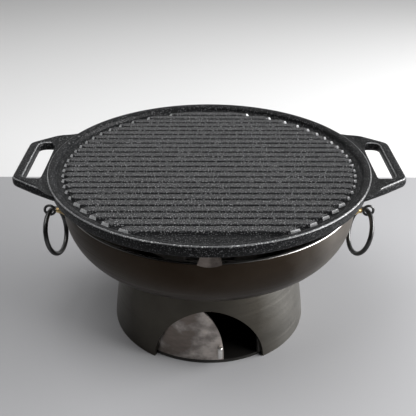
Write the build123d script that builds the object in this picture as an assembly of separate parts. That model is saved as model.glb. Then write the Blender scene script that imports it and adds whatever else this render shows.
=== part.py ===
from build123d import *
import os
from math import asin, atan, cos, degrees, radians, sin, sqrt

os.makedirs("parts", exist_ok=True)

# Tabletop charcoal grill: a ribbed cast plate on a steel fire bowl and a flared pedestal.
# Millimetres. The origin is on the table, under the middle of the pedestal.
# The air arch faces -Y, the plate handles point along +X and -X.

# Heights above the table and clearances
FLOOR_PLATE_THICKNESS = 4.0
PEDESTAL_HEIGHT = 99.0
BOWL_DEPTH = 73.0
REST_HEIGHT = 14.0
SEAT_GAP = 0.3
PIN_CLEARANCE = 0.25
LAP_GAP = 0.1

# Grill plate
PLATE_RADIUS = 180.0
PLATE_THICKNESS = 14.0
PLATE_FLOOR = 6.0
RIM_WIDTH = 9.0
RIM_CROWN = 2.2
RIM_FLARE = 5.0
PLATE_DRAFT = 2.5
PLATE_EDGE_BREAK = 1.0
UNDERSIDE_MARGIN = 11.0
UNDERSIDE_RELIEF = 1.5
RIB_COUNT = 24
RIB_PITCH = 12.9
RIB_HEIGHT = 3.4
RIB_GROOVE = 1.6
RIB_TAPER = 27.0
RIB_POINT = 8.0
RIB_FIELD_RADIUS = 165.5
RIB_FIELD_SHIFT = 8.3
RIB_MARGIN = 1.0

# Loop handles of the plate
HANDLE_REACH = 32.5
HANDLE_RISE = 3.0
HANDLE_SIDE = 92.0
HANDLE_THICKNESS = 12.0
HANDLE_BAR = 13.0
HANDLE_ROOT_SPREAD = 168.0
HANDLE_BEND_REACH = 0.52
HANDLE_BEND_SIDE = 0.78
HANDLE_CORNER = 13.0
HANDLE_BEVEL = 2.2
HANDLE_BLEND = 9.0
HANDLE_WEB = 3.0
FINGER_GAP_LENGTH = 90.0
FINGER_GAP_CORNER = 6.0

# Fire bowl
BOWL_RADIUS = 166.0
BOWL_WALL = 4.0
BOWL_STRAIGHT = 13.0
BOWL_FLAT_RADIUS = 108.0
BOWL_WALL_PULL = 0.57
BOWL_FLOOR_PULL = 0.9
BOWL_FLOOR_RISE = 4.0
BOWL_FLOOR_LEAN = 60.0
AIR_HOLE_RADIUS = 45.0

# Plate rests on the rim of the bowl
REST_WIDTH = 22.0
REST_FLARE = 30.0
REST_WALL = 3.6
REST_LIP = 1.8
REST_FIT = 0.1

# Charcoal grate in the bowl
GRATE_RADIUS = 90.0
GRATE_THICKNESS = 6.0
GRATE_FOOT_HEIGHT = 9.0
GRATE_FOOT_RADIUS = 4.0
GRATE_FOOT_COUNT = 4
GRATE_SLOT = 7.0
GRATE_SLOT_PITCH = 15.0
GRATE_BORDER = 10.0

# Pedestal
FOOT_RADIUS = 116.5
NECK_RADIUS = 100.0
PEDESTAL_BULGE = 1.6
PEDESTAL_WALL = 4.0
FLOOR_PLATE_GAP = 2.0
TACK_COUNT = 5
TACK_WIDTH = 12.0
TACK_START = -30.0
TACK_SPREAD = 240.0
WELD_LEG = 4.0

# Air arch, and the damper door behind it
ARCH_HALF_WIDTH = 62.0
ARCH_HEIGHT = 69.3
ARCH_ROUNDNESS = 1.8
ARCH_STEPS = 12
DOOR_HALF_WIDTH = 57.0
DOOR_HEIGHT = 76.0
DOOR_ROUNDNESS = 2.2
DOOR_WALL = 2.5
DOOR_GAP = 1.6
DOOR_REST_ANGLE = 22.5
ARM_WIDTH = 22.0
ARM_THICKNESS = 3.0
TAB_HEIGHT = 20.0
TAB_WIDTH = 30.0
PIVOT_SHANK = 5.0
PIVOT_HEAD = 9.0
PIVOT_HEAD_HEIGHT = 3.0
PIVOT_FOOT = 7.0
STOP_START_ANGLE = 30.2
STOP_WIDTH = 12.0
STOP_HEIGHT = 58.0
STOP_WALL = 3.0

# Pull pin on the door
PULL_RADIUS = 2.9
PULL_HEIGHT = 14.0
PULL_MIDDLE = 15.5
PULL_EDGE_DISTANCE = 4.4
PULL_SHANK = 2.0
PULL_NUT_ACROSS = 7.0
PULL_NUT_HEIGHT = 3.2
PULL_THREAD_END = 1.0

# Carrying rings of the bowl
EYE_HEIGHT = 136.0
EYE_REACH = 21.0
EYE_RADIUS = 6.0
EYE_WIRE = 1.5
STEM_RADIUS = 2.2
BRAZE_RADIUS = 8.5
BRAZE_TIP_RADIUS = 3.2
BRAZE_FLARE = 2.0
BRAZE_WAIST = 0.6
BRAZE_LENGTH = 12.5
BRAZE_EYE_GAP = 0.5
RING_RADIUS = 27.0
RING_ROD = 2.75
RING_TURN = 11.0
RING_LEAN_RIGHT = 16.0
RING_LEAN_LEFT = 10.0

# Worked out from the sizes above
RIM_HEIGHT = PEDESTAL_HEIGHT + BOWL_DEPTH
PLATE_BOTTOM = RIM_HEIGHT + REST_HEIGHT
PLATE_TOP = PLATE_BOTTOM + PLATE_THICKNESS
FLAME_FLOOR = PEDESTAL_HEIGHT + BOWL_WALL
ARM_BOTTOM = FLOOR_PLATE_THICKNESS + SEAT_GAP
REST_INSIDE = BOWL_RADIUS - BOWL_WALL - REST_WALL
FLOOR_PLATE_RADIUS = FOOT_RADIUS - PEDESTAL_WALL - FLOOR_PLATE_GAP


def turned(*edges):
    # Closed outline of radius and height, turned about the vertical axis
    return revolve(Plane.XZ * make_face(list(edges)), Axis.Z)


def upright(radius, bottom, top):
    # Vertical cylinder on the main axis
    return Pos(0, 0, bottom) * Cylinder(radius, top - bottom, align=(Align.CENTER, Align.CENTER, Align.MIN))


def pedestal_radius(height, inset=0.0):
    # Outer radius of the pedestal at a height: a straight flare with a slight bulge
    share = height / PEDESTAL_HEIGHT
    flare = FOOT_RADIUS + (NECK_RADIUS - FOOT_RADIUS) * share
    return flare + 4 * PEDESTAL_BULGE * share * (1 - share) - inset


def pedestal_shell(outer_inset, wall, bottom, top):
    # Ring of sheet that follows the flare of the pedestal between two heights
    middle = (bottom + top) / 2
    outer = ThreePointArc(*[(pedestal_radius(h, outer_inset), h) for h in (bottom, middle, top)])
    inner = ThreePointArc(*[(pedestal_radius(h, outer_inset + wall), h) for h in (bottom, middle, top)])
    return turned(outer, inner, Line(outer @ 0, inner @ 0), Line(outer @ 1, inner @ 1))


def arch_prism(half_width, height, roundness, bottom):
    # Upright block with a rounded-arch front outline, reaching from the axis out past the pedestal
    points = [(half_width, bottom)]
    for step in range(1, ARCH_STEPS):
        sideways = half_width * cos(radians(90 / ARCH_STEPS * step))
        points.append((sideways, height * (1 - (sideways / half_width) ** roundness) ** (1 / roundness)))
    points.append((0, height))
    right = Spline(*points[1:])
    left = mirror(right, Plane.YZ)
    outline = [right, left, Line(points[0], right @ 0), Line((-half_width, bottom), left @ 0)]
    outline.append(Line((-half_width, bottom), (half_width, bottom)))
    return extrude(Plane.XZ * make_face(outline), FOOT_RADIUS + PEDESTAL_WALL)


def bowl_curve(inset):
    # Side of the bowl, from its straight wall round to its flat floor
    lean = radians(BOWL_FLOOR_LEAN)
    start = (BOWL_RADIUS - inset, RIM_HEIGHT - BOWL_STRAIGHT)
    wall_pull = (BOWL_RADIUS - inset, RIM_HEIGHT - BOWL_WALL_PULL * BOWL_DEPTH)
    floor_pull_height = PEDESTAL_HEIGHT + BOWL_FLOOR_RISE
    floor_pull = (BOWL_FLOOR_PULL * BOWL_RADIUS - inset * cos(lean), floor_pull_height + inset * sin(lean))
    end = (BOWL_FLAT_RADIUS, PEDESTAL_HEIGHT + inset)
    return Bezier(start, wall_pull, floor_pull, end)


def fire_bowl():
    outer = bowl_curve(0)
    inner = bowl_curve(BOWL_WALL)
    lip = ThreePointArc(
        (BOWL_RADIUS, RIM_HEIGHT - BOWL_WALL / 2),
        (BOWL_RADIUS - BOWL_WALL / 2, RIM_HEIGHT),
        (BOWL_RADIUS - BOWL_WALL, RIM_HEIGHT - BOWL_WALL / 2),
    )
    return turned(
        lip,
        Line(lip @ 0, outer @ 0),
        outer,
        Line(outer @ 1, (AIR_HOLE_RADIUS, PEDESTAL_HEIGHT)),
        Line((AIR_HOLE_RADIUS, PEDESTAL_HEIGHT), (AIR_HOLE_RADIUS, FLAME_FLOOR)),
        Line((AIR_HOLE_RADIUS, FLAME_FLOOR), inner @ 1),
        inner,
        Line(inner @ 0, lip @ 1),
    )


def bowl_envelope():
    # Everything inside the outer face of the bowl, for pieces that are coped to it
    outer = bowl_curve(0)
    top = (BOWL_RADIUS, RIM_HEIGHT)
    return turned(
        outer,
        Line(outer @ 0, top),
        Line(top, (0, RIM_HEIGHT)),
        Line((0, RIM_HEIGHT), (0, PEDESTAL_HEIGHT)),
        Line((0, PEDESTAL_HEIGHT), outer @ 1),
    )


def plate_disc():
    # Turned blank of the plate: flat floor, raised rounded rim, shallow relief underneath
    floor = PLATE_BOTTOM + PLATE_FLOOR
    crown_outside = (PLATE_RADIUS, PLATE_TOP - 2 * RIM_CROWN)
    crown_top = (PLATE_RADIUS - RIM_WIDTH / 2, PLATE_TOP)
    crown_inside = (PLATE_RADIUS - RIM_WIDTH, PLATE_TOP - 2 * RIM_CROWN)
    flare_height = PLATE_TOP - 2 * RIM_CROWN - floor
    flare_middle = (PLATE_RADIUS - RIM_WIDTH - RIM_FLARE / 4, floor + flare_height / 3)
    moat_edge = (PLATE_RADIUS - RIM_WIDTH - RIM_FLARE, floor)
    foot_inside = REST_INSIDE - UNDERSIDE_MARGIN
    relief = PLATE_BOTTOM + UNDERSIDE_RELIEF
    outline = Polyline(
        crown_outside,
        (PLATE_RADIUS - PLATE_DRAFT + PLATE_EDGE_BREAK, PLATE_BOTTOM + PLATE_EDGE_BREAK),
        (PLATE_RADIUS - PLATE_DRAFT, PLATE_BOTTOM),
        (foot_inside, PLATE_BOTTOM),
        (foot_inside - UNDERSIDE_RELIEF, relief),
        (0, relief),
        (0, floor),
        moat_edge,
    )
    flare = ThreePointArc(moat_edge, flare_middle, crown_inside)
    crown = ThreePointArc(crown_inside, crown_top, crown_outside)
    return turned(*outline.edges(), flare, crown)


def rib(middle):
    # One rib across the plate, with sloping flanks and pointed ends
    half = (RIB_PITCH - RIB_GROOVE) / 2
    tip = sqrt(RIB_FIELD_RADIUS**2 - middle**2)
    far_edge = min(abs(middle) + half, RIB_FIELD_RADIUS - RIB_MARGIN)
    outer_shoulder = min(tip - RIB_POINT, sqrt(RIB_FIELD_RADIUS**2 - far_edge**2) - RIB_MARGIN)
    inner_shoulder = tip - RIB_POINT
    front = outer_shoulder if middle < 0 else inner_shoulder
    back = inner_shoulder if middle < 0 else outer_shoulder
    outline = Polyline(
        (-tip, middle), (-front, middle - half), (front, middle - half),
        (tip, middle), (back, middle + half), (-back, middle + half),
        close=True,
    )
    face = Pos(0, 0, PLATE_BOTTOM + PLATE_FLOOR) * make_face(outline)
    return extrude(face, RIB_HEIGHT, taper=RIB_TAPER)


def handle_blend():
    # What the loop handles leave free: the dished plate, and a slope from its crown up to their tops
    crown = PLATE_RADIUS - RIM_WIDTH / 2
    handle_top = PLATE_TOP + HANDLE_RISE
    return turned(
        *Polyline(
            (0, PLATE_BOTTOM),
            (crown, PLATE_BOTTOM),
            (crown, PLATE_TOP - SEAT_GAP),
            (PLATE_RADIUS + HANDLE_BLEND, handle_top),
            (PLATE_RADIUS + HANDLE_BLEND, handle_top + HANDLE_RISE),
            (0, handle_top + HANDLE_RISE),
            close=True,
        ).edges()
    )


def loop_handle(side):
    # Trapezoid loop with a finger gap, spreading into the rim of the plate
    reach = PLATE_RADIUS + HANDLE_REACH
    root = HANDLE_ROOT_SPREAD / 2
    root_x = sqrt(PLATE_RADIUS**2 - root**2)
    bend = (root_x + HANDLE_BEND_REACH * (reach - root_x), HANDLE_BEND_SIDE * root)
    start = (root_x - 2 * RIM_WIDTH, root)
    half_side = [start, (root_x, root), bend, (reach, HANDLE_SIDE / 2)]
    outline = make_face(Polyline(*half_side, *[(x, -y) for x, y in reversed(half_side)], close=True))
    corners = outline.vertices().sort_by(Axis.X)
    outline = fillet(corners[-2:], HANDLE_CORNER)
    gap_start = PLATE_RADIUS + HANDLE_WEB
    gap_end = reach - HANDLE_BAR
    gap = RectangleRounded(gap_end - gap_start, FINGER_GAP_LENGTH, FINGER_GAP_CORNER)
    handle = extrude(outline - Pos((gap_start + gap_end) / 2, 0) * gap, HANDLE_THICKNESS)
    top_edges = handle.faces().sort_by(Axis.Z)[-1].edges()
    bottom_edges = handle.faces().sort_by(Axis.Z)[0].edges()
    handle = chamfer(top_edges + bottom_edges, HANDLE_BEVEL)
    handle = Pos(0, 0, PLATE_TOP + HANDLE_RISE - HANDLE_THICKNESS) * handle - handle_blend()
    return handle if side > 0 else mirror(handle, Plane.YZ)


def grill_plate():
    plate = plate_disc()
    first = RIB_FIELD_SHIFT - RIB_PITCH * (RIB_COUNT - 1) / 2
    ribs = [rib(first + RIB_PITCH * index) for index in range(RIB_COUNT)]
    return plate + ribs + [loop_handle(1), loop_handle(-1)]


def plate_rest(angle):
    # Bare steel saddle on the bowl's rim, flaring into it, with a lens-shaped lip
    outside = BOWL_RADIUS + REST_WALL
    top = PLATE_BOTTOM - SEAT_GAP
    bottom = RIM_HEIGHT - REST_LIP
    flare_tip = (REST_FLARE / 2, RIM_HEIGHT + REST_LIP / 2)
    side_middle = (REST_WIDTH / 2 + REST_LIP / 2, RIM_HEIGHT + REST_HEIGHT / 3)
    side = ThreePointArc((REST_WIDTH / 2, top), side_middle, flare_tip)
    other_side = mirror(side, Plane.YZ)
    lip = ThreePointArc(flare_tip, (0, bottom), (-flare_tip[0], flare_tip[1]))
    front = make_face([side, lip, other_side, Line(side @ 0, other_side @ 0)])
    ring = upright(outside, bottom, top) - upright(REST_INSIDE, bottom, top)
    slot = upright(BOWL_RADIUS + REST_FIT, bottom, RIM_HEIGHT + REST_FIT)
    slot -= upright(BOWL_RADIUS - BOWL_WALL - REST_FIT, bottom, RIM_HEIGHT + REST_FIT)
    block = extrude(Plane.XZ * front, outside + REST_WALL)
    return Rot(0, 0, angle) * ((ring - slot) & block)


def charcoal_grate():
    bottom = FLAME_FLOOR + SEAT_GAP
    disc_bottom = bottom + GRATE_FOOT_HEIGHT
    disc = upright(GRATE_RADIUS, disc_bottom, disc_bottom + GRATE_THICKNESS)
    slot_field = GRATE_RADIUS - GRATE_BORDER
    count = int(slot_field / GRATE_SLOT_PITCH)
    slots = []
    for index in range(-count, count + 1):
        across = index * GRATE_SLOT_PITCH
        length = 2 * sqrt(slot_field**2 - across**2)
        if length > 3 * GRATE_SLOT:
            slots.append(Pos(0, across) * SlotOverall(length, GRATE_SLOT))
    for slot in slots:
        disc -= extrude(Pos(0, 0, disc_bottom) * slot, GRATE_THICKNESS)
    foot_circle = GRATE_RADIUS - GRATE_BORDER / 2 - 1
    for place in PolarLocations(foot_circle, GRATE_FOOT_COUNT, start_angle=45):
        foot = Cylinder(GRATE_FOOT_RADIUS, GRATE_FOOT_HEIGHT, align=(Align.CENTER, Align.CENTER, Align.MIN))
        disc += Pos(0, 0, bottom) * place * foot
    return disc


def pedestal():
    shell = pedestal_shell(0, PEDESTAL_WALL, 0, PEDESTAL_HEIGHT)
    return shell - arch_prism(ARCH_HALF_WIDTH, ARCH_HEIGHT, ARCH_ROUNDNESS, -1)


def bowl_weld():
    # Fillet weld inside the neck, between the pedestal and the floor of the bowl
    corner = (pedestal_radius(PEDESTAL_HEIGHT, PEDESTAL_WALL), PEDESTAL_HEIGHT)
    low = (pedestal_radius(PEDESTAL_HEIGHT - WELD_LEG, PEDESTAL_WALL), PEDESTAL_HEIGHT - WELD_LEG)
    inner = (corner[0] - WELD_LEG, PEDESTAL_HEIGHT)
    return turned(*Polyline(corner, low, inner, close=True).edges())


def floor_plate():
    plate = upright(FLOOR_PLATE_RADIUS, 0, FLOOR_PLATE_THICKNESS)
    pivot_hole = upright(PIVOT_SHANK, 0, FLOOR_PLATE_THICKNESS)
    pivot_recess = upright(PIVOT_FOOT, 0, FLOOR_PLATE_THICKNESS / 2)
    return plate - pivot_hole - pivot_recess


def floor_tacks():
    # Short welds that hold the floor plate in the foot of the pedestal, away from the arch
    tacks = []
    spread = TACK_SPREAD / (TACK_COUNT - 1)
    for index in range(TACK_COUNT):
        ring = pedestal_shell(PEDESTAL_WALL + LAP_GAP, 1.5 * FLOOR_PLATE_GAP, 0, FLOOR_PLATE_THICKNESS)
        ring -= upright(FLOOR_PLATE_RADIUS, 0, FLOOR_PLATE_THICKNESS)
        width = Pos(FOOT_RADIUS, 0, 0) * Box(FOOT_RADIUS, TACK_WIDTH, 4 * FLOOR_PLATE_THICKNESS)
        tacks.append(Rot(0, 0, TACK_START + spread * index) * (ring & width))
    return Compound(children=tacks)


def door_stop():
    # Upright strip inside the pedestal beside the arch, which the closing door meets
    shell = pedestal_shell(PEDESTAL_WALL + LAP_GAP, STOP_WALL, FLOOR_PLATE_THICKNESS, STOP_HEIGHT)
    sector = Pos(0, 0, STOP_HEIGHT / 2) * Box(STOP_WIDTH, 4 * FOOT_RADIUS, 2 * STOP_HEIGHT)
    sector &= Pos(0, -FOOT_RADIUS, 0) * Box(STOP_WIDTH, 2 * FOOT_RADIUS, 4 * STOP_HEIGHT)
    turn = STOP_START_ANGLE + STOP_WIDTH / 2 / radians(1) / FOOT_RADIUS
    return Rot(0, 0, turn) * (shell & sector)


def door_inset(depth=0.0):
    # How far the door's sheet lies inside the outer face of the pedestal
    return PEDESTAL_WALL + DOOR_GAP + depth


def on_door(sideways, height):
    # Place on the outer face of the door, with local Z pointing outward, square to the flare
    share = height / PEDESTAL_HEIGHT
    slope = (NECK_RADIUS - FOOT_RADIUS + 4 * PEDESTAL_BULGE * (1 - 2 * share)) / PEDESTAL_HEIGHT
    reach = pedestal_radius(height, door_inset())
    turn = degrees(asin(sideways / reach)) - DOOR_REST_ANGLE
    return Rot(0, 0, turn) * Pos(0, -reach, height) * Rot(90 + degrees(atan(slope)), 0, 0)


def pull_place():
    # The pull stands just inside the leading edge of the door
    return on_door(DOOR_HALF_WIDTH - PULL_EDGE_DISTANCE, PULL_MIDDLE)


def damper_door():
    shell = pedestal_shell(door_inset(), DOOR_WALL, ARM_BOTTOM, DOOR_HEIGHT)
    door = shell & arch_prism(DOOR_HALF_WIDTH, DOOR_HEIGHT, DOOR_ROUNDNESS, ARM_BOTTOM)
    door = Rot(0, 0, -DOOR_REST_ANGLE) * door
    return door - pull_place() * Cylinder(PULL_SHANK + LAP_GAP, 4 * DOOR_WALL)


def damper_arm():
    # Flat bar from the pivot to the door, its turned-up end spot-welded to the back of the door
    inner = door_inset(DOOR_WALL + LAP_GAP)
    end = pedestal_radius(ARM_BOTTOM, inner) - ARM_THICKNESS / 2
    bar = Pos(0, -end / 2, ARM_BOTTOM + ARM_THICKNESS / 2) * Box(ARM_WIDTH, end, ARM_THICKNESS)
    bar += upright(ARM_WIDTH / 2, ARM_BOTTOM, ARM_BOTTOM + ARM_THICKNESS)
    tab = pedestal_shell(inner, ARM_THICKNESS, ARM_BOTTOM, ARM_BOTTOM + TAB_HEIGHT)
    tab &= Pos(0, -FOOT_RADIUS, 0) * Box(TAB_WIDTH, 2 * FOOT_RADIUS, 4 * TAB_HEIGHT)
    arm = Rot(0, 0, -DOOR_REST_ANGLE) * (bar + tab)
    return arm - upright(PIVOT_SHANK + PIN_CLEARANCE, 0, PEDESTAL_HEIGHT)


def pivot_pin():
    # Headed pin that holds the arm down on the middle of the floor plate
    arm_top = ARM_BOTTOM + ARM_THICKNESS
    pin = upright(PIVOT_SHANK, 0, arm_top + SEAT_GAP)
    pin += upright(PIVOT_FOOT, 0, FLOOR_PLATE_THICKNESS / 2)
    head = upright(PIVOT_HEAD, arm_top + SEAT_GAP, arm_top + SEAT_GAP + PIVOT_HEAD_HEIGHT)
    return pin + head


def pull_pin():
    # Upright pin with a shank that passes through the door
    body = fillet(Cylinder(PULL_RADIUS, PULL_HEIGHT).edges(), PULL_RADIUS / 2)
    length = PULL_RADIUS + SEAT_GAP + DOOR_WALL + PULL_NUT_HEIGHT + PULL_THREAD_END
    shank = Pos(0, 0, -length / 2) * Cylinder(PULL_SHANK, length)
    return pull_place() * Pos(0, 0, PULL_RADIUS + SEAT_GAP) * (Rot(90, 0, 0) * body + shank)


def pull_nut():
    # Hexagon nut on the inner end of the pull's shank
    outline = RegularPolygon(PULL_NUT_ACROSS / 2, 6, major_radius=False) - Circle(PULL_SHANK + LAP_GAP)
    return pull_place() * Pos(0, 0, -DOOR_WALL - SEAT_GAP) * extrude(outline, -PULL_NUT_HEIGHT)


def eye_middle():
    return BOWL_RADIUS + EYE_REACH


def handle_eye(side):
    # Closed wire eye in an upright plane, with a stem that runs to the wall of the bowl
    eye = Pos(eye_middle(), 0, EYE_HEIGHT) * Rot(90, 0, 0) * Torus(EYE_RADIUS, EYE_WIRE)
    start = eye_middle() - EYE_RADIUS
    length = start - BOWL_RADIUS / 2
    stem = Pos(start - length / 2, 0, EYE_HEIGHT) * Rot(0, 90, 0) * Cylinder(STEM_RADIUS, length)
    piece = (eye + stem) - bowl_envelope()
    return piece if side > 0 else mirror(piece, Plane.YZ)


def eye_braze(side):
    # Brass fillet round the stem, wide on the bowl and narrow at the eye
    tip = eye_middle() - EYE_RADIUS - EYE_WIRE - BRAZE_EYE_GAP
    root = tip - BRAZE_LENGTH - BOWL_WALL
    waist = (tip - BRAZE_WAIST * BRAZE_LENGTH, (BRAZE_RADIUS + BRAZE_FLARE) / 2)
    profile = [
        ThreePointArc((root, BRAZE_RADIUS + BRAZE_FLARE), waist, (tip, BRAZE_TIP_RADIUS)),
        Line((tip, BRAZE_TIP_RADIUS), (tip, STEM_RADIUS)),
        Line((tip, STEM_RADIUS), (root, STEM_RADIUS)),
        Line((root, STEM_RADIUS), (root, BRAZE_RADIUS + BRAZE_FLARE)),
    ]
    outline = make_face(profile)
    fillet_ring = Pos(0, 0, EYE_HEIGHT) * revolve(Plane.XY * outline, Axis.X)
    piece = fillet_ring - bowl_envelope()
    return piece if side > 0 else mirror(piece, Plane.YZ)


def ring_handle(side, lean):
    # Round ring that hangs through the eye, turned and leaning a little towards the bowl
    top = EYE_HEIGHT - EYE_RADIUS + EYE_WIRE + RING_ROD + PIN_CLEARANCE
    ring = Pos(0, 0, -RING_RADIUS) * Rot(0, 90, 0) * Torus(RING_RADIUS, RING_ROD)
    ring = Pos(eye_middle(), 0, top) * Rot(0, 0, RING_TURN) * Rot(0, lean, 0) * ring
    return ring if side > 0 else mirror(ring, Plane.YZ)


def write(name, shape):
    export_step(shape, f"parts/{name}.step")


write("grill_plate", grill_plate())
for name, angle in (("front", 0), ("back_right", 120), ("back_left", 240)):
    write(f"plate_rest_{name}", plate_rest(angle))
write("fire_bowl", fire_bowl())
write("charcoal_grate", charcoal_grate())
write("bowl_weld", bowl_weld())
write("pedestal", pedestal())
write("floor_plate", floor_plate())
write("floor_tacks", floor_tacks())
write("door_stop", door_stop())
write("pivot_pin", pivot_pin())
write("damper_door", damper_door())
write("damper_arm", damper_arm())
write("pull_pin", pull_pin())
write("pull_nut", pull_nut())
for name, side, lean in (("right", 1, RING_LEAN_RIGHT), ("left", -1, RING_LEAN_LEFT)):
    write(f"handle_eye_{name}", handle_eye(side))
    write(f"eye_braze_{name}", eye_braze(side))
    write(f"ring_handle_{name}", ring_handle(side, lean))
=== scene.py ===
import math

import bmesh
import bpy
from mathutils import Matrix, Vector
from mathutils.noise import noise as noise_value


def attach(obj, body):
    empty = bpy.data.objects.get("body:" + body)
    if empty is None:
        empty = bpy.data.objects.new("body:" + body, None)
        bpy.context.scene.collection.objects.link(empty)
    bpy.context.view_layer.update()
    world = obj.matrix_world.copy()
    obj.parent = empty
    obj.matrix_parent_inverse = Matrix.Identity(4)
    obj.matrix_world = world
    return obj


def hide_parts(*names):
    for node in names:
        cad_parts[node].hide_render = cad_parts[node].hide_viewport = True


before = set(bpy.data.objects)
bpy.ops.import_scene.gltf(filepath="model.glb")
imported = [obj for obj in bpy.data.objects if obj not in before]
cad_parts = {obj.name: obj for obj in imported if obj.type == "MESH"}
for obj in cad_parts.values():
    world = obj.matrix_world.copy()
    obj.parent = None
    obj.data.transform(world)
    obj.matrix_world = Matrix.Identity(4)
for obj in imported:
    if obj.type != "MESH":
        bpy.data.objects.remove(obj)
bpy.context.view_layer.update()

# Driving sizes in millimetres. They follow the construction, except that these differ a little: the
# ribs' draft, the rim's outer edge, the handles' bar, gap, web, rounding and valley, the rests' width.
MM = 0.001
PEDESTAL_HEIGHT = 99.0
BOWL_DEPTH = 73.0
PLATE_RADIUS = 180.0
PLATE_BOTTOM = 186.0
PLATE_TOP = 200.0
PLATE_FLOOR = 192.0
PLATE_DRAFT = 2.5
PLATE_FOOT_ROUND = 2.0
UNDERSIDE_RADIUS = 147.4
UNDERSIDE_RELIEF = 1.5
RIM_WIDTH = 9.0
RIM_CROWN = 2.2
RIM_FLARE = 5.0
RIM_EDGE = 2.0
RIB_COUNT = 24
RIB_PITCH = 12.9
RIB_HEIGHT = 3.4
RIB_GROOVE = 1.6
RIB_ROOT = 0.5
RIB_ROUND = 0.6
RIB_TAPER = 17.0
RIB_POINT = 8.0
RIB_FIELD_RADIUS = 165.5
RIB_FIELD_SHIFT = 8.3
RIB_MARGIN = 1.0
RIB_TIP = 0.45
HANDLE_REACH = 32.5
HANDLE_RISE = 3.0
HANDLE_SIDE = 92.0
HANDLE_THICKNESS = 12.0
HANDLE_BAR = 12.2
HANDLE_ROOT_SPREAD = 168.0
HANDLE_BEND_REACH = 0.52
HANDLE_BEND_SIDE = 0.78
HANDLE_CORNER = 13.0
HANDLE_BOW = 30.0
HANDLE_ROUND = 4.6
HANDLE_BLEND = 21.0
HANDLE_VALLEY = 1.8
HANDLE_WEB = 2.2
FINGER_GAP_LENGTH = 91.5
FINGER_GAP_CORNER = 7.0
BOWL_RADIUS = 166.0
BOWL_WALL = 4.0
BOWL_STRAIGHT = 13.0
BOWL_FLAT_RADIUS = 108.0
BOWL_WALL_PULL = 0.57
BOWL_FLOOR_PULL = 0.9
BOWL_FLOOR_RISE = 4.0
BOWL_FLOOR_LEAN = 60.0
AIR_HOLE_RADIUS = 45.0
SEAT_GAP = 0.3
REST_WIDTH = 17.0
REST_FLARE = 23.5
REST_WALL = 3.6
REST_LIP = 1.8
REST_TIP = 0.2
REST_FIT = 0.1
REST_ROUND = 0.4
REST_PLACES = {"front": 0, "back_right": 120, "back_left": 240}
FOOT_RADIUS = 116.5
NECK_RADIUS = 100.0
PEDESTAL_BULGE = 1.6
PEDESTAL_WALL = 4.0
PEDESTAL_ROUND = 0.5
ARCH_HALF_WIDTH = 62.0
ARCH_HEIGHT = 69.3
ARCH_ROUNDNESS = 1.8
DOOR_BOTTOM = 4.3
DOOR_HALF_WIDTH = 57.0
DOOR_HEIGHT = 76.0
DOOR_ROUNDNESS = 2.2
DOOR_WALL = 2.5
DOOR_ROUND = 0.4
DOOR_GAP = 1.6
DOOR_REST_ANGLE = 22.5
EYE_HEIGHT = 136.0
BRAZE_ROOT_RADIUS = 10.5
BRAZE_TIP_RADIUS = 3.2
BRAZE_START = 162.5
BRAZE_END = 179.0


# Materials

def new_material(name):
    mat = bpy.data.materials.new(name)
    mat.use_nodes = True
    tree = mat.node_tree
    return mat, tree.nodes, tree.links, tree.nodes["Principled BSDF"]


def noise(nodes, links, coords, scale, detail=4.0, roughness=0.55, stretch=None):
    # Noise on object coordinates, stretched along an axis when asked
    node = nodes.new("ShaderNodeTexNoise")
    node.inputs["Scale"].default_value = scale
    node.inputs["Detail"].default_value = detail
    node.inputs["Roughness"].default_value = roughness
    if stretch:
        mapping = nodes.new("ShaderNodeMapping")
        mapping.inputs["Scale"].default_value = stretch
        links.new(coords, mapping.inputs["Vector"])
        coords = mapping.outputs["Vector"]
    links.new(coords, node.inputs["Vector"])
    return node.outputs["Fac"]


def ramp(nodes, links, factor, stops):
    node = nodes.new("ShaderNodeValToRGB")
    elements = node.color_ramp.elements
    while len(elements) < len(stops):
        elements.new(0.5)
    for element, (place, colour) in zip(elements, stops):
        element.position = place
        element.color = (*colour, 1.0) if len(colour) == 3 else colour
    links.new(factor, node.inputs["Fac"])
    return node.outputs["Color"]


def grey(value):
    return (value, value, value)


def mix(nodes, links, kind, factor, first, second):
    node = nodes.new("ShaderNodeMix")
    node.data_type = "RGBA"
    node.blend_type = kind
    for socket, value in (("Factor", factor), ("A", first), ("B", second)):
        target = [s for s in node.inputs if s.name == socket and s.enabled][0]
        if hasattr(value, "is_linked"):
            links.new(value, target)
        else:
            target.default_value = value
    return [s for s in node.outputs if s.enabled][0]


def bump(nodes, links, height, distance, strength=1.0, normal=None):
    node = nodes.new("ShaderNodeBump")
    node.inputs["Distance"].default_value = distance
    node.inputs["Strength"].default_value = strength
    links.new(height, node.inputs["Height"])
    if normal:
        links.new(normal, node.inputs["Normal"])
    return node.outputs["Normal"]


def object_coords(nodes):
    return nodes.new("ShaderNodeTexCoord").outputs["Object"]


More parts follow.
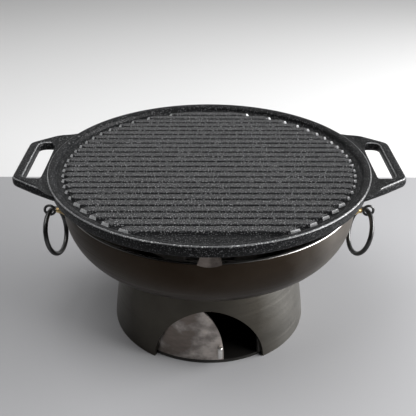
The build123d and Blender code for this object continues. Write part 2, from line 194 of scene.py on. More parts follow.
def cast_iron(name, dark, light, glint_speck, rough, shine):
    # Seasoned sand casting: fine grain, slow patches, small bright specks that are partly grain and partly
    # painted glints, rubbed edges
    mat, nodes, links, shader = new_material(name)
    coords = object_coords(nodes)
    patches = noise(nodes, links, coords, 12.0, 5.0)
    grain = noise(nodes, links, coords, 640.0, 2.0, 0.6)
    coarse = noise(nodes, links, coords, 300.0, 3.0, 0.6)
    colour = ramp(nodes, links, patches, [(0.3, dark), (0.72, light)])
    # Bright specks: sand grain, partly painted glints
    glint_specks = ramp(nodes, links, grain, [(0.57, grey(0)), (0.65, grey(1))])
    colour = mix(nodes, links, "MIX", glint_specks, colour, (*glint_speck, 1))
    geometry = nodes.new("ShaderNodeNewGeometry")
    wear_and_highlight = ramp(nodes, links, geometry.outputs["Pointiness"], [(0.52, grey(0)), (0.6, grey(1))])
    colour = mix(nodes, links, "MIX", wear_and_highlight, colour, (*[2.0 * v for v in light], 1))
    links.new(colour, shader.inputs["Base Color"])
    gloss = ramp(nodes, links, coarse, [(0.3, grey(rough - 0.08)), (0.7, grey(rough + 0.1))])
    links.new(gloss, shader.inputs["Roughness"])
    shader.inputs["Specular IOR Level"].default_value = shine
    normal = bump(nodes, links, coarse, 0.35 * MM, 0.7)
    links.new(bump(nodes, links, grain, 0.3 * MM, 0.9, normal), shader.inputs["Normal"])
    return mat


# Direction of the painted shade on the front of the bowl and pedestal
FRONT_SHADE_MIDDLE = (-0.24, -0.97, 0.0)


def front_shade_mask(nodes, links, coords, unrest):
    # Painted shade: full where the steel faces the front, away from the key light, fading round the sides
    # with a ragged edge
    flat = nodes.new("ShaderNodeVectorMath")
    flat.operation = "MULTIPLY"
    flat.inputs[1].default_value = (1, 1, 0)
    links.new(coords, flat.inputs[0])
    unit = nodes.new("ShaderNodeVectorMath")
    unit.operation = "NORMALIZE"
    links.new(flat.outputs["Vector"], unit.inputs[0])
    facing = nodes.new("ShaderNodeVectorMath")
    facing.operation = "DOT_PRODUCT"
    facing.inputs[1].default_value = FRONT_SHADE_MIDDLE
    links.new(unit.outputs["Vector"], facing.inputs[0])
    ragged = nodes.new("ShaderNodeMath")
    ragged.operation = "MULTIPLY_ADD"
    ragged.inputs[1].default_value = 0.5
    links.new(unrest, ragged.inputs[0])
    links.new(facing.outputs["Value"], ragged.inputs[2])
    return ramp(nodes, links, ragged.outputs["Value"], [(0.72, grey(0)), (1.12, grey(1))])


def turned_steel(name, dark, light, rough, front_shade=None, marks=0.5):
    # Sheet steel with fine marks round the axis, slow tarnish, small scratches, and painted shade darkening
    # the front
    mat, nodes, links, shader = new_material(name)
    coords = object_coords(nodes)
    tarnish = noise(nodes, links, coords, 14.0, 6.0, 0.6)
    bands = noise(nodes, links, coords, 60.0, 4.0, 0.7, (0.12, 0.12, 7.0))
    spots = noise(nodes, links, coords, 420.0, 2.0, 0.6)
    colour = ramp(nodes, links, tarnish, [(0.3, dark), (0.7, light)])
    shade = ramp(nodes, links, bands, [(0.25, grey(0.72)), (0.75, grey(1.0))])
    colour = mix(nodes, links, "MULTIPLY", marks, colour, shade)
    # Painted shade on the front
    if front_shade:
        mask = front_shade_mask(nodes, links, coords, tarnish)
        colour = mix(nodes, links, "MULTIPLY", mask, colour, (*front_shade, 1))
    links.new(colour, shader.inputs["Base Color"])
    gloss = ramp(nodes, links, bands, [(0.3, grey(rough - 0.07)), (0.7, grey(rough + 0.1))])
    links.new(gloss, shader.inputs["Roughness"])
    shader.inputs["Metallic"].default_value = 1.0
    normal = bump(nodes, links, bands, 0.06 * MM, 0.5)
    links.new(bump(nodes, links, spots, 0.05 * MM, 0.4, normal), shader.inputs["Normal"])
    return mat


def bare_steel(name, dark, light, rough):
    # Ground steel, blotched by heat, with short wiping strokes
    mat, nodes, links, shader = new_material(name)
    coords = object_coords(nodes)
    blotches = noise(nodes, links, coords, 34.0, 6.0, 0.5, (1.0, 1.0, 1.2))
    strokes = noise(nodes, links, coords, 70.0, 5.0, 0.7, (1.0, 1.0, 3.5))
    fine = noise(nodes, links, coords, 700.0, 2.0, 0.6)
    colour = ramp(nodes, links, blotches, [(0.42, dark), (0.5, [0.5 * v for v in light]), (0.60, light)])
    streaks = ramp(nodes, links, strokes, [(0.3, grey(0.6)), (0.7, grey(1.0))])
    colour = mix(nodes, links, "MULTIPLY", 0.7, colour, streaks)
    links.new(colour, shader.inputs["Base Color"])
    gloss = ramp(nodes, links, blotches, [(0.3, grey(rough - 0.08)), (0.7, grey(rough + 0.12))])
    links.new(gloss, shader.inputs["Roughness"])
    shader.inputs["Metallic"].default_value = 1.0
    links.new(bump(nodes, links, fine, 0.06 * MM, 0.5), shader.inputs["Normal"])
    return mat


def raw_brass(name):
    mat, nodes, links, shader = new_material(name)
    coords = object_coords(nodes)
    flow = noise(nodes, links, coords, 160.0, 4.0, 0.6)
    colour = ramp(nodes, links, flow, [(0.35, (0.3, 0.19, 0.08)), (0.65, (0.85, 0.66, 0.33))])
    links.new(colour, shader.inputs["Base Color"])
    links.new(ramp(nodes, links, flow, [(0.3, grey(0.28)), (0.7, grey(0.45))]), shader.inputs["Roughness"])
    shader.inputs["Metallic"].default_value = 1.0
    links.new(bump(nodes, links, flow, 0.4 * MM, 0.6), shader.inputs["Normal"])
    return mat


# Mesh helpers

TURN_STEPS = 256
SHEET_ROWS = 24

def arc(centre, radii, start, end, steps):
    # Points on an ellipse arc about a centre, angles in degrees
    points = []
    for step in range(steps + 1):
        turn = math.radians(start + (end - start) * step / steps)
        points.append((centre[0] + radii[0] * math.cos(turn), centre[1] + radii[1] * math.sin(turn)))
    return points


def bezier(points, steps):
    # Points on a cubic curve
    curve = []
    for step in range(steps + 1):
        t = step / steps
        weights = ((1 - t) ** 3, 3 * t * (1 - t) ** 2, 3 * t**2 * (1 - t), t**3)
        curve.append(tuple(sum(w * p[axis] for w, p in zip(weights, points)) for axis in (0, 1)))
    return curve


def piece(name, body, bm, mat, node=None, sharp=35.0, cut=None, wear_and_highlight=None):
    # Finished object from a bmesh in millimetres, riding on its body and standing for a node.
    # wear_and_highlight is a test of a face's centre and normal, and the material that passing faces get; it
    # lays painted highlights and glints, partly over rubbed edges.
    bmesh.ops.remove_doubles(bm, verts=bm.verts, dist=0.001)
    bmesh.ops.recalc_face_normals(bm, faces=bm.faces)
    mesh = bpy.data.meshes.new(name)
    bmesh.ops.scale(bm, vec=(MM, MM, MM), verts=bm.verts)
    bm.to_mesh(mesh)
    bm.free()
    thing = bpy.data.objects.new(name, mesh)
    bpy.context.scene.collection.objects.link(thing)
    if cut:
        cut_away(thing, cut)
    smooth(thing.data, sharp)
    thing.data.materials.append(mat)
    if wear_and_highlight:
        is_highlight_face, highlight_mat = wear_and_highlight
        thing.data.materials.append(highlight_mat)
        for face in thing.data.polygons:
            face.material_index = int(is_highlight_face(face.center / MM, face.normal))
    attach(thing, body)
    if node:
        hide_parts(node)
    return thing


def smooth(mesh, sharp):
    for face in mesh.polygons:
        face.use_smooth = True
    mesh.set_sharp_from_angle(angle=math.radians(sharp))


def cut_away(thing, cutter):
    # Take the cutter's shape out of an object and keep only the result
    boolean = thing.modifiers.new("cut", "BOOLEAN")
    boolean.operation = "DIFFERENCE"
    boolean.object = cutter
    depsgraph = bpy.context.evaluated_depsgraph_get()
    result = bpy.data.meshes.new_from_object(thing.evaluated_get(depsgraph))
    thing.modifiers.clear()
    thing.data = result


def round_edges(thing, width, segments=2, angle=35.0):
    bevel = thing.modifiers.new("round", "BEVEL")
    bevel.width = width * MM
    bevel.segments = segments
    bevel.limit_method = "ANGLE"
    bevel.angle_limit = math.radians(angle)
    bevel.harden_normals = True
    return thing


def lathe(profile):
    # Closed outline of radius and height, turned about the main axis
    bm = bmesh.new()
    rings = []
    for radius, height in profile:
        if radius < 0.001:
            rings.append([bm.verts.new((0, 0, height))] * TURN_STEPS)
            continue
        turns = [math.tau * step / TURN_STEPS for step in range(TURN_STEPS)]
        rings.append([bm.verts.new((radius * math.cos(t), radius * math.sin(t), height)) for t in turns])
    for lower, upper in zip(rings, rings[1:] + rings[:1]):
        for step in range(TURN_STEPS):
            after = (step + 1) % TURN_STEPS
            corners = [lower[step], lower[after], upper[after], upper[step]]
            corners = list(dict.fromkeys(corners))
            if len(corners) > 2:
                bm.faces.new(corners)
    return bm


def turned_cutter(name, outline):
    # Turned shape that is only used to cut others
    bm = lathe(outline)
    bmesh.ops.recalc_face_normals(bm, faces=bm.faces)
    bmesh.ops.scale(bm, vec=(MM, MM, MM), verts=bm.verts)
    mesh = bpy.data.meshes.new(name)
    bm.to_mesh(mesh)
    bm.free()
    cutter = bpy.data.objects.new(name, mesh)
    bpy.context.scene.collection.objects.link(cutter)
    return cutter


def inset(points, distance):
    # Convex outline, counter-clockwise, moved inwards by a distance
    moved = []
    count = len(points)
    for index in range(count):
        before, here, after = (Vector(points[(index + shift) % count]) for shift in (-1, 0, 1))
        first, second = (here - before).normalized(), (after - here).normalized()
        inward = Vector((-first.y - second.y, first.x + second.x)).normalized()
        spread = inward.dot(Vector((-first.y, first.x)))
        moved.append(here + inward * distance / spread)
    return moved


def rounded_corner(before, here, after, radius, steps=8):
    # Arc that takes the place of one corner of an outline
    before, here, after = Vector(before), Vector(here), Vector(after)
    back, ahead = (before - here).normalized(), (after - here).normalized()
    half = back.angle(ahead) / 2
    middle = here + (back + ahead).normalized() * radius / math.sin(half)
    start = here + back * radius / math.tan(half) - middle
    end = here + ahead * radius / math.tan(half) - middle
    sweep = start.angle_signed(end)
    points = []
    for step in range(steps + 1):
        turn = -sweep * step / steps
        x = start.x * math.cos(turn) - start.y * math.sin(turn)
        y = start.x * math.sin(turn) + start.y * math.cos(turn)
        points.append(tuple(middle + Vector((x, y))))
    return points


def rounded(corners, radius):
    # Closed outline with every corner turned into an arc
    points = []
    for index, here in enumerate(corners):
        points += rounded_corner(corners[index - 1], here, corners[(index + 1) % len(corners)], radius)
    return points


def prism(outline, holes, bottom, top, edge, name):
    # Flat slab from a 2-D curve with rounded edges, as a bmesh in millimetres
    curve = bpy.data.curves.new(name, "CURVE")
    curve.dimensions = "2D"
    curve.fill_mode = "BOTH"
    for loop in [outline, *holes]:
        spline = curve.splines.new("POLY")
        spline.points.add(len(loop) - 1)
        for point, (x, y) in zip(spline.points, loop):
            point.co = (x, y, 0, 1)
        spline.use_cyclic_u = True
    curve.extrude = (top - bottom) / 2 - edge
    curve.bevel_depth = edge
    curve.bevel_resolution = 4
    curve.offset = -edge
    helper = bpy.data.objects.new(name, curve)
    bpy.context.scene.collection.objects.link(helper)
    mesh = bpy.data.meshes.new_from_object(helper.evaluated_get(bpy.context.evaluated_depsgraph_get()))
    bpy.data.objects.remove(helper)
    bm = bmesh.new()
    bm.from_mesh(mesh)
    bmesh.ops.translate(bm, verts=bm.verts, vec=(0, 0, (top + bottom) / 2))
    return bm


def sheet_band(columns, wall):
    # Curved sheet from upright columns of (angle, low, high), its outer radius given by the flare
    bm = bmesh.new()
    faces = []
    for depth in (0.0, wall):
        grid = []
        for angle, low, high, inset_mm in columns:
            line = []
            for row in range(SHEET_ROWS + 1):
                height = low + (high - low) * row / SHEET_ROWS
                radius = pedestal_radius(height) - inset_mm - depth
                line.append(bm.verts.new((radius * math.sin(angle), -radius * math.cos(angle), height)))
            grid.append(line)
        faces.append(grid)
    outer, inner = faces
    last = len(columns) - 1
    for index in range(last):
        for row in range(SHEET_ROWS):
            for grid in (outer, inner):
                here, after = grid[index], grid[index + 1]
                bm.faces.new((here[row], after[row], after[row + 1], here[row + 1]))
        for row in (0, SHEET_ROWS):
            ends = (outer[index], outer[index + 1], inner[index + 1], inner[index])
            bm.faces.new([line[row] for line in ends])
    for index in (0, last):
        front, rear = outer[index], inner[index]
        for row in range(SHEET_ROWS):
            bm.faces.new((front[row], front[row + 1], rear[row + 1], rear[row]))
    return bm


def pedestal_radius(height):
    share = height / PEDESTAL_HEIGHT
    flare = FOOT_RADIUS + (NECK_RADIUS - FOOT_RADIUS) * share
    return flare + 4 * PEDESTAL_BULGE * share * (1 - share)


# Materials of the object

PLATE_IRON = cast_iron(
    "plate_iron",
    (0.004, 0.0043, 0.0048),
    (0.007, 0.0075, 0.008),
    (0.10, 0.10, 0.103),
    0.42,
    0.10,
)
RIB_IRON = cast_iron(
    "rib_iron",
    (0.0025, 0.0028, 0.0032),
    (0.013, 0.0135, 0.0145),
    (0.42, 0.42, 0.425),
    0.40,
    0.32,
)
# Painted highlight: light iron for the rim's outer edge and the handles' top edges
EDGE_HIGHLIGHT_IRON = cast_iron(
    "edge_highlight_iron",
    (0.035, 0.036, 0.038),
    (0.19, 0.194, 0.20),
    (0.55, 0.55, 0.55),
    0.32,
    0.6,
)
# Painted glints: near-white iron for the facets at the rib tips
TIP_GLINT_IRON = cast_iron(
    "tip_glint_iron",
    (0.16, 0.163, 0.168),
    (0.46, 0.465, 0.47),
    (0.85, 0.85, 0.85),
    0.32,
    0.8,
)
GRATE_IRON = cast_iron(
    "grate_iron",
    (0.02, 0.019, 0.018),
    (0.05, 0.046, 0.042),
    (0.12, 0.11, 0.1),
    0.65,
    0.4,
)
# The last colour of the bowl and pedestal steels darkens their front as painted shade
BOWL_STEEL = turned_steel(
    "bowl_steel",
    (0.120, 0.100, 0.080),
    (0.190, 0.176, 0.158),
    0.42,
    (0.24, 0.20, 0.165),
)
PEDESTAL_STEEL = turned_steel(
    "pedestal_steel",
    (0.150, 0.144, 0.130),
    (0.225, 0.217, 0.198),
    0.44,
    (0.40, 0.38, 0.35),
)
# Painted highlight: pale steel for the top of the bowl's lip
LIP_HIGHLIGHT_STEEL = turned_steel("lip_highlight_steel", (0.22, 0.215, 0.205), (0.50, 0.49, 0.48), 0.3)
REST_STEEL = bare_steel("rest_steel", (0.04, 0.034, 0.030), (0.22, 0.19, 0.17), 0.42)
FLOOR_STEEL = turned_steel("floor_steel", (0.05, 0.048, 0.045), (0.09, 0.086, 0.08), 0.5)
WELD_STEEL = turned_steel("weld_steel", (0.06, 0.056, 0.05), (0.12, 0.11, 0.10), 0.45)
DOOR_STEEL = bare_steel("door_steel", (0.20, 0.17, 0.15), (0.60, 0.545, 0.505), 0.40)
BRIGHT_STEEL = bare_steel("bright_steel", (0.5, 0.47, 0.44), (0.85, 0.83, 0.8), 0.22)
RING_STEEL = turned_steel("ring_steel", (0.06, 0.06, 0.06), (0.13, 0.13, 0.13), 0.32)
BRASS = raw_brass("braze_brass")

FINISHES = {
    "charcoal_grate": GRATE_IRON,
    "floor_plate": FLOOR_STEEL,
    "bowl_weld": WELD_STEEL,
    "floor_tacks": WELD_STEEL,
    "door_stop": FLOOR_STEEL,
    "pivot_pin": DOOR_STEEL,
    "damper_arm": DOOR_STEEL,
    "pull_pin": BRIGHT_STEEL,
    "pull_nut": BRIGHT_STEEL,
    "handle_eye_left": RING_STEEL,
    "handle_eye_right": RING_STEEL,
    "ring_handle_left": RING_STEEL,
    "ring_handle_right": RING_STEEL,
}
for node, mat in FINISHES.items():
    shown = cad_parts[node]
    for index in range(max(1, len(shown.material_slots))):
        if shown.material_slots:
            shown.material_slots[index].material = mat
        else:
            shown.data.materials.append(mat)


# Grill plate: dished disc, ribs with pointed ends, two loop handles

def plate_disc():
    crown_foot = PLATE_TOP - 2 * RIM_CROWN
    foot = PLATE_RADIUS - PLATE_DRAFT
    profile = [(0, PLATE_FLOOR)]
    flare_middle = (PLATE_RADIUS - RIM_WIDTH - RIM_FLARE, crown_foot)
    profile += arc(flare_middle, (RIM_FLARE, crown_foot - PLATE_FLOOR), -90, -15, 8)
    profile += arc((PLATE_RADIUS - RIM_EDGE, crown_foot), (RIM_WIDTH - RIM_EDGE, 2 * RIM_CROWN), 170, 90, 14)
    profile += arc((PLATE_RADIUS - RIM_EDGE, PLATE_TOP - RIM_EDGE), (RIM_EDGE, RIM_EDGE), 84, 0, 8)
    foot_middle = (foot - PLATE_FOOT_ROUND, PLATE_BOTTOM + PLATE_FOOT_ROUND)
    profile += arc(foot_middle, (1.25 * PLATE_FOOT_ROUND, PLATE_FOOT_ROUND), -5, -90, 6)
    underside = PLATE_BOTTOM + UNDERSIDE_RELIEF
    profile.append((UNDERSIDE_RADIUS, PLATE_BOTTOM))
    profile.append((UNDERSIDE_RADIUS - UNDERSIDE_RELIEF, underside))
    profile.append((0, underside))
    return lathe(profile)


def rib_outline(middle):
    half = (RIB_PITCH - RIB_GROOVE) / 2
    tip = math.sqrt(RIB_FIELD_RADIUS**2 - middle**2)
    far_edge = min(abs(middle) + half, RIB_FIELD_RADIUS - RIB_MARGIN)
    inner = tip - RIB_POINT
    outer = min(inner, math.sqrt(RIB_FIELD_RADIUS**2 - far_edge**2) - RIB_MARGIN)
    front, back = (outer, inner) if middle < 0 else (inner, outer)
    low, high = middle - half, middle + half
    right = [(front, low), (tip - RIB_TIP * (tip - front), middle - RIB_TIP * half), (tip, middle)]
    right += [(tip - RIB_TIP * (tip - back), middle + RIB_TIP * half), (back, high)]
    return right + [(-x, y) for x, y in right[::-1]]


def ribs():
    bm = bmesh.new()
    draft = math.tan(math.radians(RIB_TAPER))
    for index in range(RIB_COUNT):
        outline = rib_outline(RIB_FIELD_SHIFT + RIB_PITCH * (index - (RIB_COUNT - 1) / 2))
        rings = []
        for height in (-RIB_ROOT, RIB_HEIGHT):
            level = PLATE_FLOOR + height
            rings.append([bm.verts.new((x, y, level)) for x, y in inset(outline, height * draft)])
        lower, upper = rings
        bm.faces.new(upper)
        bm.faces.new(lower[::-1])
        for corner in range(len(outline)):
            after = (corner + 1) % len(outline)
            bm.faces.new((lower[corner], lower[after], upper[after], upper[corner]))
    return bm


def handle_blend():
    # Valley between the crown of the rim and the tops of the handles
    crown = PLATE_RADIUS - RIM_WIDTH / 2
    top = PLATE_TOP + HANDLE_RISE
    valley = PLATE_TOP - HANDLE_VALLEY
    end = PLATE_RADIUS + HANDLE_BLEND
    outline = [(0, PLATE_BOTTOM), (crown, PLATE_BOTTOM), (crown, valley)]
    middle = (PLATE_RADIUS + end) / 2
    outline += bezier([(PLATE_RADIUS, valley), (middle, valley), (middle, top), (end, top)], 12)
    outline += [(end, top + HANDLE_RISE), (0, top + HANDLE_RISE)]
    return turned_cutter("handle_blend", outline)


def handle(side):
    reach = PLATE_RADIUS + HANDLE_REACH
    root = HANDLE_ROOT_SPREAD / 2
    root_x = math.sqrt(PLATE_RADIUS**2 - root**2)
    bend = (root_x + HANDLE_BEND_REACH * (reach - root_x), HANDLE_BEND_SIDE * root)
    start = (root_x - 2 * RIM_WIDTH, root)
    corner = (reach, HANDLE_SIDE / 2)
    half = [start]
    half += rounded_corner(start, (root_x, root), bend, HANDLE_BOW)
    half += rounded_corner((root_x, root), bend, corner, HANDLE_BOW)
    half += rounded_corner(bend, corner, (reach, 0), HANDLE_CORNER)
    outline = [(x, -y) for x, y in half] + half[::-1]
    gap_start, gap_end = PLATE_RADIUS + HANDLE_WEB, reach - HANDLE_BAR
    gap_side = FINGER_GAP_LENGTH / 2
    gap = [(gap_start, -gap_side), (gap_end, -gap_side), (gap_end, gap_side), (gap_start, gap_side)]
    gap = rounded(gap, FINGER_GAP_CORNER)
    outline, gap = ([(side * x, y) for x, y in loop] for loop in (outline, gap))
    top = PLATE_TOP + HANDLE_RISE
    return prism(outline, [gap], top - HANDLE_THICKNESS, top, HANDLE_ROUND, "handle_curve")


def rim_highlight(centre, normal):
    # Outer top edge of the rim, rubbed, and lightened as a painted highlight
    return math.hypot(centre.x, centre.y) > PLATE_RADIUS - 0.9 * RIM_EDGE and 0.35 < normal.z < 0.95


def rib_tip_glint(centre, normal):
    # Sloping facets at the very tips of the ribs, lightened as painted glints
    tip = math.hypot(centre.x, centre.y) > RIB_FIELD_RADIUS - 3.0
    return tip and abs(normal.x) > 0.3 and 0.1 < normal.z < 0.9


def handle_highlight(centre, normal):
    # Middle of the rounded top edges of the handles, a little way out from the rim, lightened as a painted
    # highlight
    outside = math.hypot(centre.x, centre.y) > PLATE_RADIUS + 4
    slope = math.hypot(normal.x, normal.y)
    return outside and 0.5 < normal.z < 0.88 and slope > 0.45


# The rim's outer edge, the rib tips and the handles' top edges get painted highlights and glints
piece("plate_disc", "plate", plate_disc(), PLATE_IRON, "grill_plate", wear_and_highlight=(rim_highlight, EDGE_HIGHLIGHT_IRON))
plate_ribs = piece("plate_ribs", "plate", ribs(), RIB_IRON, sharp=30.0, wear_and_highlight=(rib_tip_glint, TIP_GLINT_IRON))
round_edges(plate_ribs, RIB_ROUND, 2, 20.0)
blend_cutter = handle_blend()
for label, side in (("right", 1), ("left", -1)):
    name = f"plate_handle_{label}"
    wear_and_highlight = (handle_highlight, EDGE_HIGHLIGHT_IRON)
    piece(name, "plate", handle(side), PLATE_IRON, sharp=50.0, cut=blend_cutter, wear_and_highlight=wear_and_highlight)
bpy.data.objects.remove(blend_cutter)


# Fire bowl with a rounded lip

def bowl_side(depth):
    lean = math.radians(BOWL_FLOOR_LEAN)
    rim = PEDESTAL_HEIGHT + BOWL_DEPTH
    floor_pull_height = PEDESTAL_HEIGHT + BOWL_FLOOR_RISE
    floor_pull_radius = BOWL_FLOOR_PULL * BOWL_RADIUS
    pulls = [
        (BOWL_RADIUS - depth, rim - BOWL_STRAIGHT),
        (BOWL_RADIUS - depth, rim - BOWL_WALL_PULL * BOWL_DEPTH),
        (floor_pull_radius - depth * math.cos(lean), floor_pull_height + depth * math.sin(lean)),
        (BOWL_FLAT_RADIUS, PEDESTAL_HEIGHT + depth),
    ]
    return bezier(pulls, 40)


def bowl():
    rim = PEDESTAL_HEIGHT + BOWL_DEPTH
    half = BOWL_WALL / 2
    profile = arc((BOWL_RADIUS - half, rim - half), (half, half), 180, 0, 12)
    profile += bowl_side(0)
    profile += [(AIR_HOLE_RADIUS, PEDESTAL_HEIGHT), (AIR_HOLE_RADIUS, PEDESTAL_HEIGHT + BOWL_WALL)]
    profile += bowl_side(BOWL_WALL)[::-1]
    return lathe(profile)


def lip_highlight(centre, normal):
    # Top of the rounded lip, rubbed by the plate, and lightened as a painted highlight
    return centre.z > PEDESTAL_HEIGHT + BOWL_DEPTH - 0.2 * BOWL_WALL


# The top of the lip gets a painted highlight
piece("bowl", "stove", bowl(), BOWL_STEEL, "fire_bowl", wear_and_highlight=(lip_highlight, LIP_HIGHLIGHT_STEEL))


# Bare steel saddles on the bowl's rim that carry the plate

def rest(angle):
    rim = PEDESTAL_HEIGHT + BOWL_DEPTH
    top, bottom = PLATE_BOTTOM - SEAT_GAP, rim - REST_LIP
    tip_height = rim + REST_LIP / 2
    half, flare = REST_WIDTH / 2, REST_FLARE / 2
    side = []
    for step in range(9):
        share = step / 8
        side.append((half + (flare - half) * share**2, top + (tip_height - top) * share))
    middle = [(half * step / 6, top) for step in range(6)]
    columns = [(x, bottom + (tip_height - bottom) * (x / flare) ** 2, high) for x, high in middle + side]
    columns = [(-x, low, high) for x, low, high in columns[:0:-1]] + columns
    bm = bmesh.new()
    walls = []
    for radius in (BOWL_RADIUS + REST_WALL, BOWL_RADIUS - BOWL_WALL - REST_WALL):
        wall = []
        for x, low, high in columns:
            turn = x / BOWL_RADIUS + math.radians(angle)
            across, along = radius * math.sin(turn), -radius * math.cos(turn)
            high = max(high, low + REST_TIP)
            wall.append([bm.verts.new((across, along, level)) for level in (low, high)])
        walls.append(wall)
    outer, inner = walls
    for index in range(len(columns) - 1):
        for wall in walls:
            here, after = wall[index], wall[index + 1]
            bm.faces.new((here[0], after[0], after[1], here[1]))
        for end in (0, 1):
            corners = (outer[index], outer[index + 1], inner[index + 1], inner[index])
            bm.faces.new([column[end] for column in corners])
    for index in (0, -1):
        bm.faces.new((outer[index][0], outer[index][1], inner[index][1], inner[index][0]))
    return bm


rim_inside, rim_outside = BOWL_RADIUS - BOWL_WALL - REST_FIT, BOWL_RADIUS + REST_FIT
slot_bottom, slot_top = PEDESTAL_HEIGHT, PEDESTAL_HEIGHT + BOWL_DEPTH + REST_FIT
slot_outline = [(rim_inside, slot_bottom), (rim_outside, slot_bottom)]
slot_outline += [(rim_outside, slot_top), (rim_inside, slot_top)]
rest_slot = turned_cutter("rest_slot", slot_outline)
for label, angle in REST_PLACES.items():
    saddle = piece(f"rest_{label}", "stove", rest(angle), REST_STEEL, f"plate_rest_{label}", cut=rest_slot)
    round_edges(saddle, REST_ROUND)
bpy.data.objects.remove(rest_slot)


# Pedestal with its air arch, and the damper door behind it

def arch_edge(half_width, height, roundness, depth, lowest, steps):
    # Points of (angle, height) up the side of an arch and over to its middle
    points = []
    for step in range(steps + 1):
        across = half_width * math.cos(math.pi / 2 * step / steps)
        rise = height * (1 - (across / half_width) ** roundness) ** (1 / roundness)
        if rise >= lowest:
            points.append((math.asin(across / (pedestal_radius(rise) - depth)), rise))
    start = math.asin(half_width / (pedestal_radius(lowest) - depth))
    return [(start, lowest)] + points if points[0][1] > lowest else points


def pedestal():
    side = arch_edge(ARCH_HALF_WIDTH, ARCH_HEIGHT, ARCH_ROUNDNESS, 0, 0, 60)
    columns = [(angle, low, PEDESTAL_HEIGHT, 0) for angle, low in side]
    columns = [(-angle, *rest) for angle, *rest in columns] + columns[-2::-1]
    start = side[0][0]
    plain = [start + (math.tau - 2 * start) * step / 160 for step in range(161)]
    columns += [(angle, 0, PEDESTAL_HEIGHT, 0) for angle in plain]
    return sheet_band(columns, PEDESTAL_WALL)


def door():
    depth = PEDESTAL_WALL + DOOR_GAP
    side = arch_edge(DOOR_HALF_WIDTH, DOOR_HEIGHT, DOOR_ROUNDNESS, depth, DOOR_BOTTOM + 0.5, 60)
    right = [(angle, DOOR_BOTTOM, high, depth) for angle, high in side]
    columns = [(-angle, *rest) for angle, *rest in right] + right[-2::-1]
    turn = math.radians(DOOR_REST_ANGLE)
    return sheet_band([(angle - turn, *rest) for angle, *rest in columns], DOOR_WALL)


round_edges(piece("pedestal", "stove", pedestal(), PEDESTAL_STEEL, "pedestal"), PEDESTAL_ROUND)
round_edges(piece("door", "door", door(), DOOR_STEEL, "damper_door"), DOOR_ROUND)


# Lumpy brass fillets at the roots of the eyes

def braze(side):
    bm = bmesh.new()
    steps, rows = 40, 16
    lines = []
    for row in range(rows + 1):
        share = row / rows
        along = BRAZE_START + (BRAZE_END - BRAZE_START) * share
        radius = BRAZE_TIP_RADIUS + (BRAZE_ROOT_RADIUS - BRAZE_TIP_RADIUS) * (1 - share) ** 1.8
        line = []
        for step in range(steps):
            turn = math.tau * step / steps
            spot = Vector((along, radius * math.cos(turn), radius * math.sin(turn)))
            swell = 1 + 0.16 * noise_value(spot * 0.32 + Vector((side * 7, 0, 0)))
            line.append(bm.verts.new((side * along, swell * spot.y, EYE_HEIGHT + swell * spot.z)))
        lines.append(line)
    for lower, upper in zip(lines, lines[1:]):
        for step in range(steps):
            after = (step + 1) % steps
            bm.faces.new((lower[step], lower[after], upper[after], upper[step]))
    bm.faces.new(lines[0])
    bm.faces.new(lines[-1])
    return bm


for label, side in (("right", 1), ("left", -1)):
    piece(f"braze_{label}", "stove", braze(side), BRASS, f"eye_braze_{label}", sharp=60.0)


# Stage: pale floor running back to a paler sheet, soft lights, camera

def stage_plane(name, low, high, colour):
    mesh = bpy.data.meshes.new(name)
    corners = [(low[0], low[1], 0), (high[0], low[1], 0), (high[0], high[1], 0), (low[0], high[1], 0)]
    mesh.from_pydata(corners, [], [(0, 1, 2, 3)])
    thing = bpy.data.objects.new(name, mesh)
    bpy.context.scene.collection.objects.link(thing)
    mat, nodes, links, shader = new_material(name)
    shader.inputs["Base Color"].default_value = (*colour, 1)
    shader.inputs["Roughness"].default_value = 0.9
    shader.inputs["Specular IOR Level"].default_value = 0.1
    mesh.materials.append(mat)
    return thing


FLOOR_SIZE = 4.0
FLOOR_BACK = 0.356
stage_plane("studio_floor", (-FLOOR_SIZE, -FLOOR_SIZE), (FLOOR_SIZE, FLOOR_BACK), (0.37, 0.37, 0.38))
stage_plane("studio_sheet", (-FLOOR_SIZE, FLOOR_BACK), (FLOOR_SIZE, FLOOR_SIZE), (0.78, 0.78, 0.78))


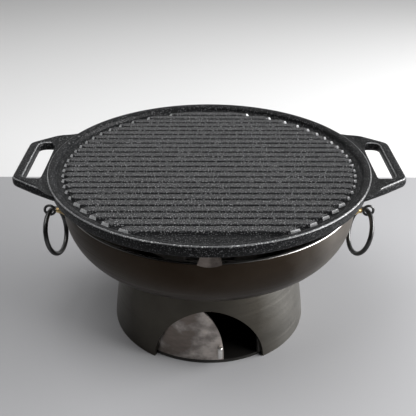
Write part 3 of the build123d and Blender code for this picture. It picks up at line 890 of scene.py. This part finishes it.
def area_light(name, place, target, size, power, colour=(1, 1, 1)):
    data = bpy.data.lights.new(name, "AREA")
    data.shape = "RECTANGLE"
    data.size, data.size_y = size
    data.energy = power
    data.color = colour
    lamp = bpy.data.objects.new(name, data)
    lamp.location = place
    direction = Vector(target) - Vector(place)
    lamp.rotation_euler = direction.to_track_quat("-Z", "Y").to_euler()
    bpy.context.scene.collection.objects.link(lamp)
    return lamp


area_light("key_right", (1.55, -0.15, 0.62), (0.05, 0, 0.1), (1.7, 0.8), 62.0)
area_light("top", (-0.45, -0.2, 1.65), (0, 0, 0.15), (1.1, 1.1), 16.0)
area_light("top_back", (-0.1, 1.1, 1.2), (0, 0, 0.15), (1.8, 0.8), 3.0)

# Room light: bright behind and above the grill, dim on the viewer's side
WORLD_DIM = 0.03
WORLD_BRIGHT = 0.45
world = bpy.data.worlds.new("studio")
bpy.context.scene.world = world
world.use_nodes = True
world_nodes, world_links = world.node_tree.nodes, world.node_tree.links
backdrop = world_nodes["Background"]
directions = world_nodes.new("ShaderNodeTexCoord").outputs["Generated"]
split = world_nodes.new("ShaderNodeSeparateXYZ")
world_links.new(directions, split.inputs["Vector"])
shares = world_nodes.new("ShaderNodeMapRange")
shares.inputs["From Min"].default_value = -0.9
shares.inputs["From Max"].default_value = 0.9
world_links.new(split.outputs["Y"], shares.inputs["Value"])
world_stops = [(0.2, grey(WORLD_DIM)), (0.85, grey(WORLD_BRIGHT))]
world_colour = ramp(world_nodes, world_links, shares.outputs["Result"], world_stops)
world_links.new(world_colour, backdrop.inputs["Color"])
backdrop.inputs["Strength"].default_value = 1.0

CAMERA_PLACE = Vector((-1.72, -703.95, 534.71)) * MM
CAMERA_RIGHT = Vector((1.0, 0.00033, 0.00153))
CAMERA_UP = Vector((-0.00149, 0.48999, 0.87172))
CAMERA_LENS = 59.586
camera_data = bpy.data.cameras.new("camera")
camera_data.lens = CAMERA_LENS
camera_data.sensor_width = 36.0
camera_data.clip_start = 0.01
camera = bpy.data.objects.new("camera", camera_data)
right = CAMERA_RIGHT.normalized()
back = right.cross(CAMERA_UP).normalized()
up = back.cross(right)
camera.matrix_world = Matrix.Translation(CAMERA_PLACE) @ Matrix((right, up, back)).transposed().to_4x4()
bpy.context.scene.collection.objects.link(camera)
bpy.context.scene.camera = camera
bpy.context.scene.view_settings.view_transform = "Standard"
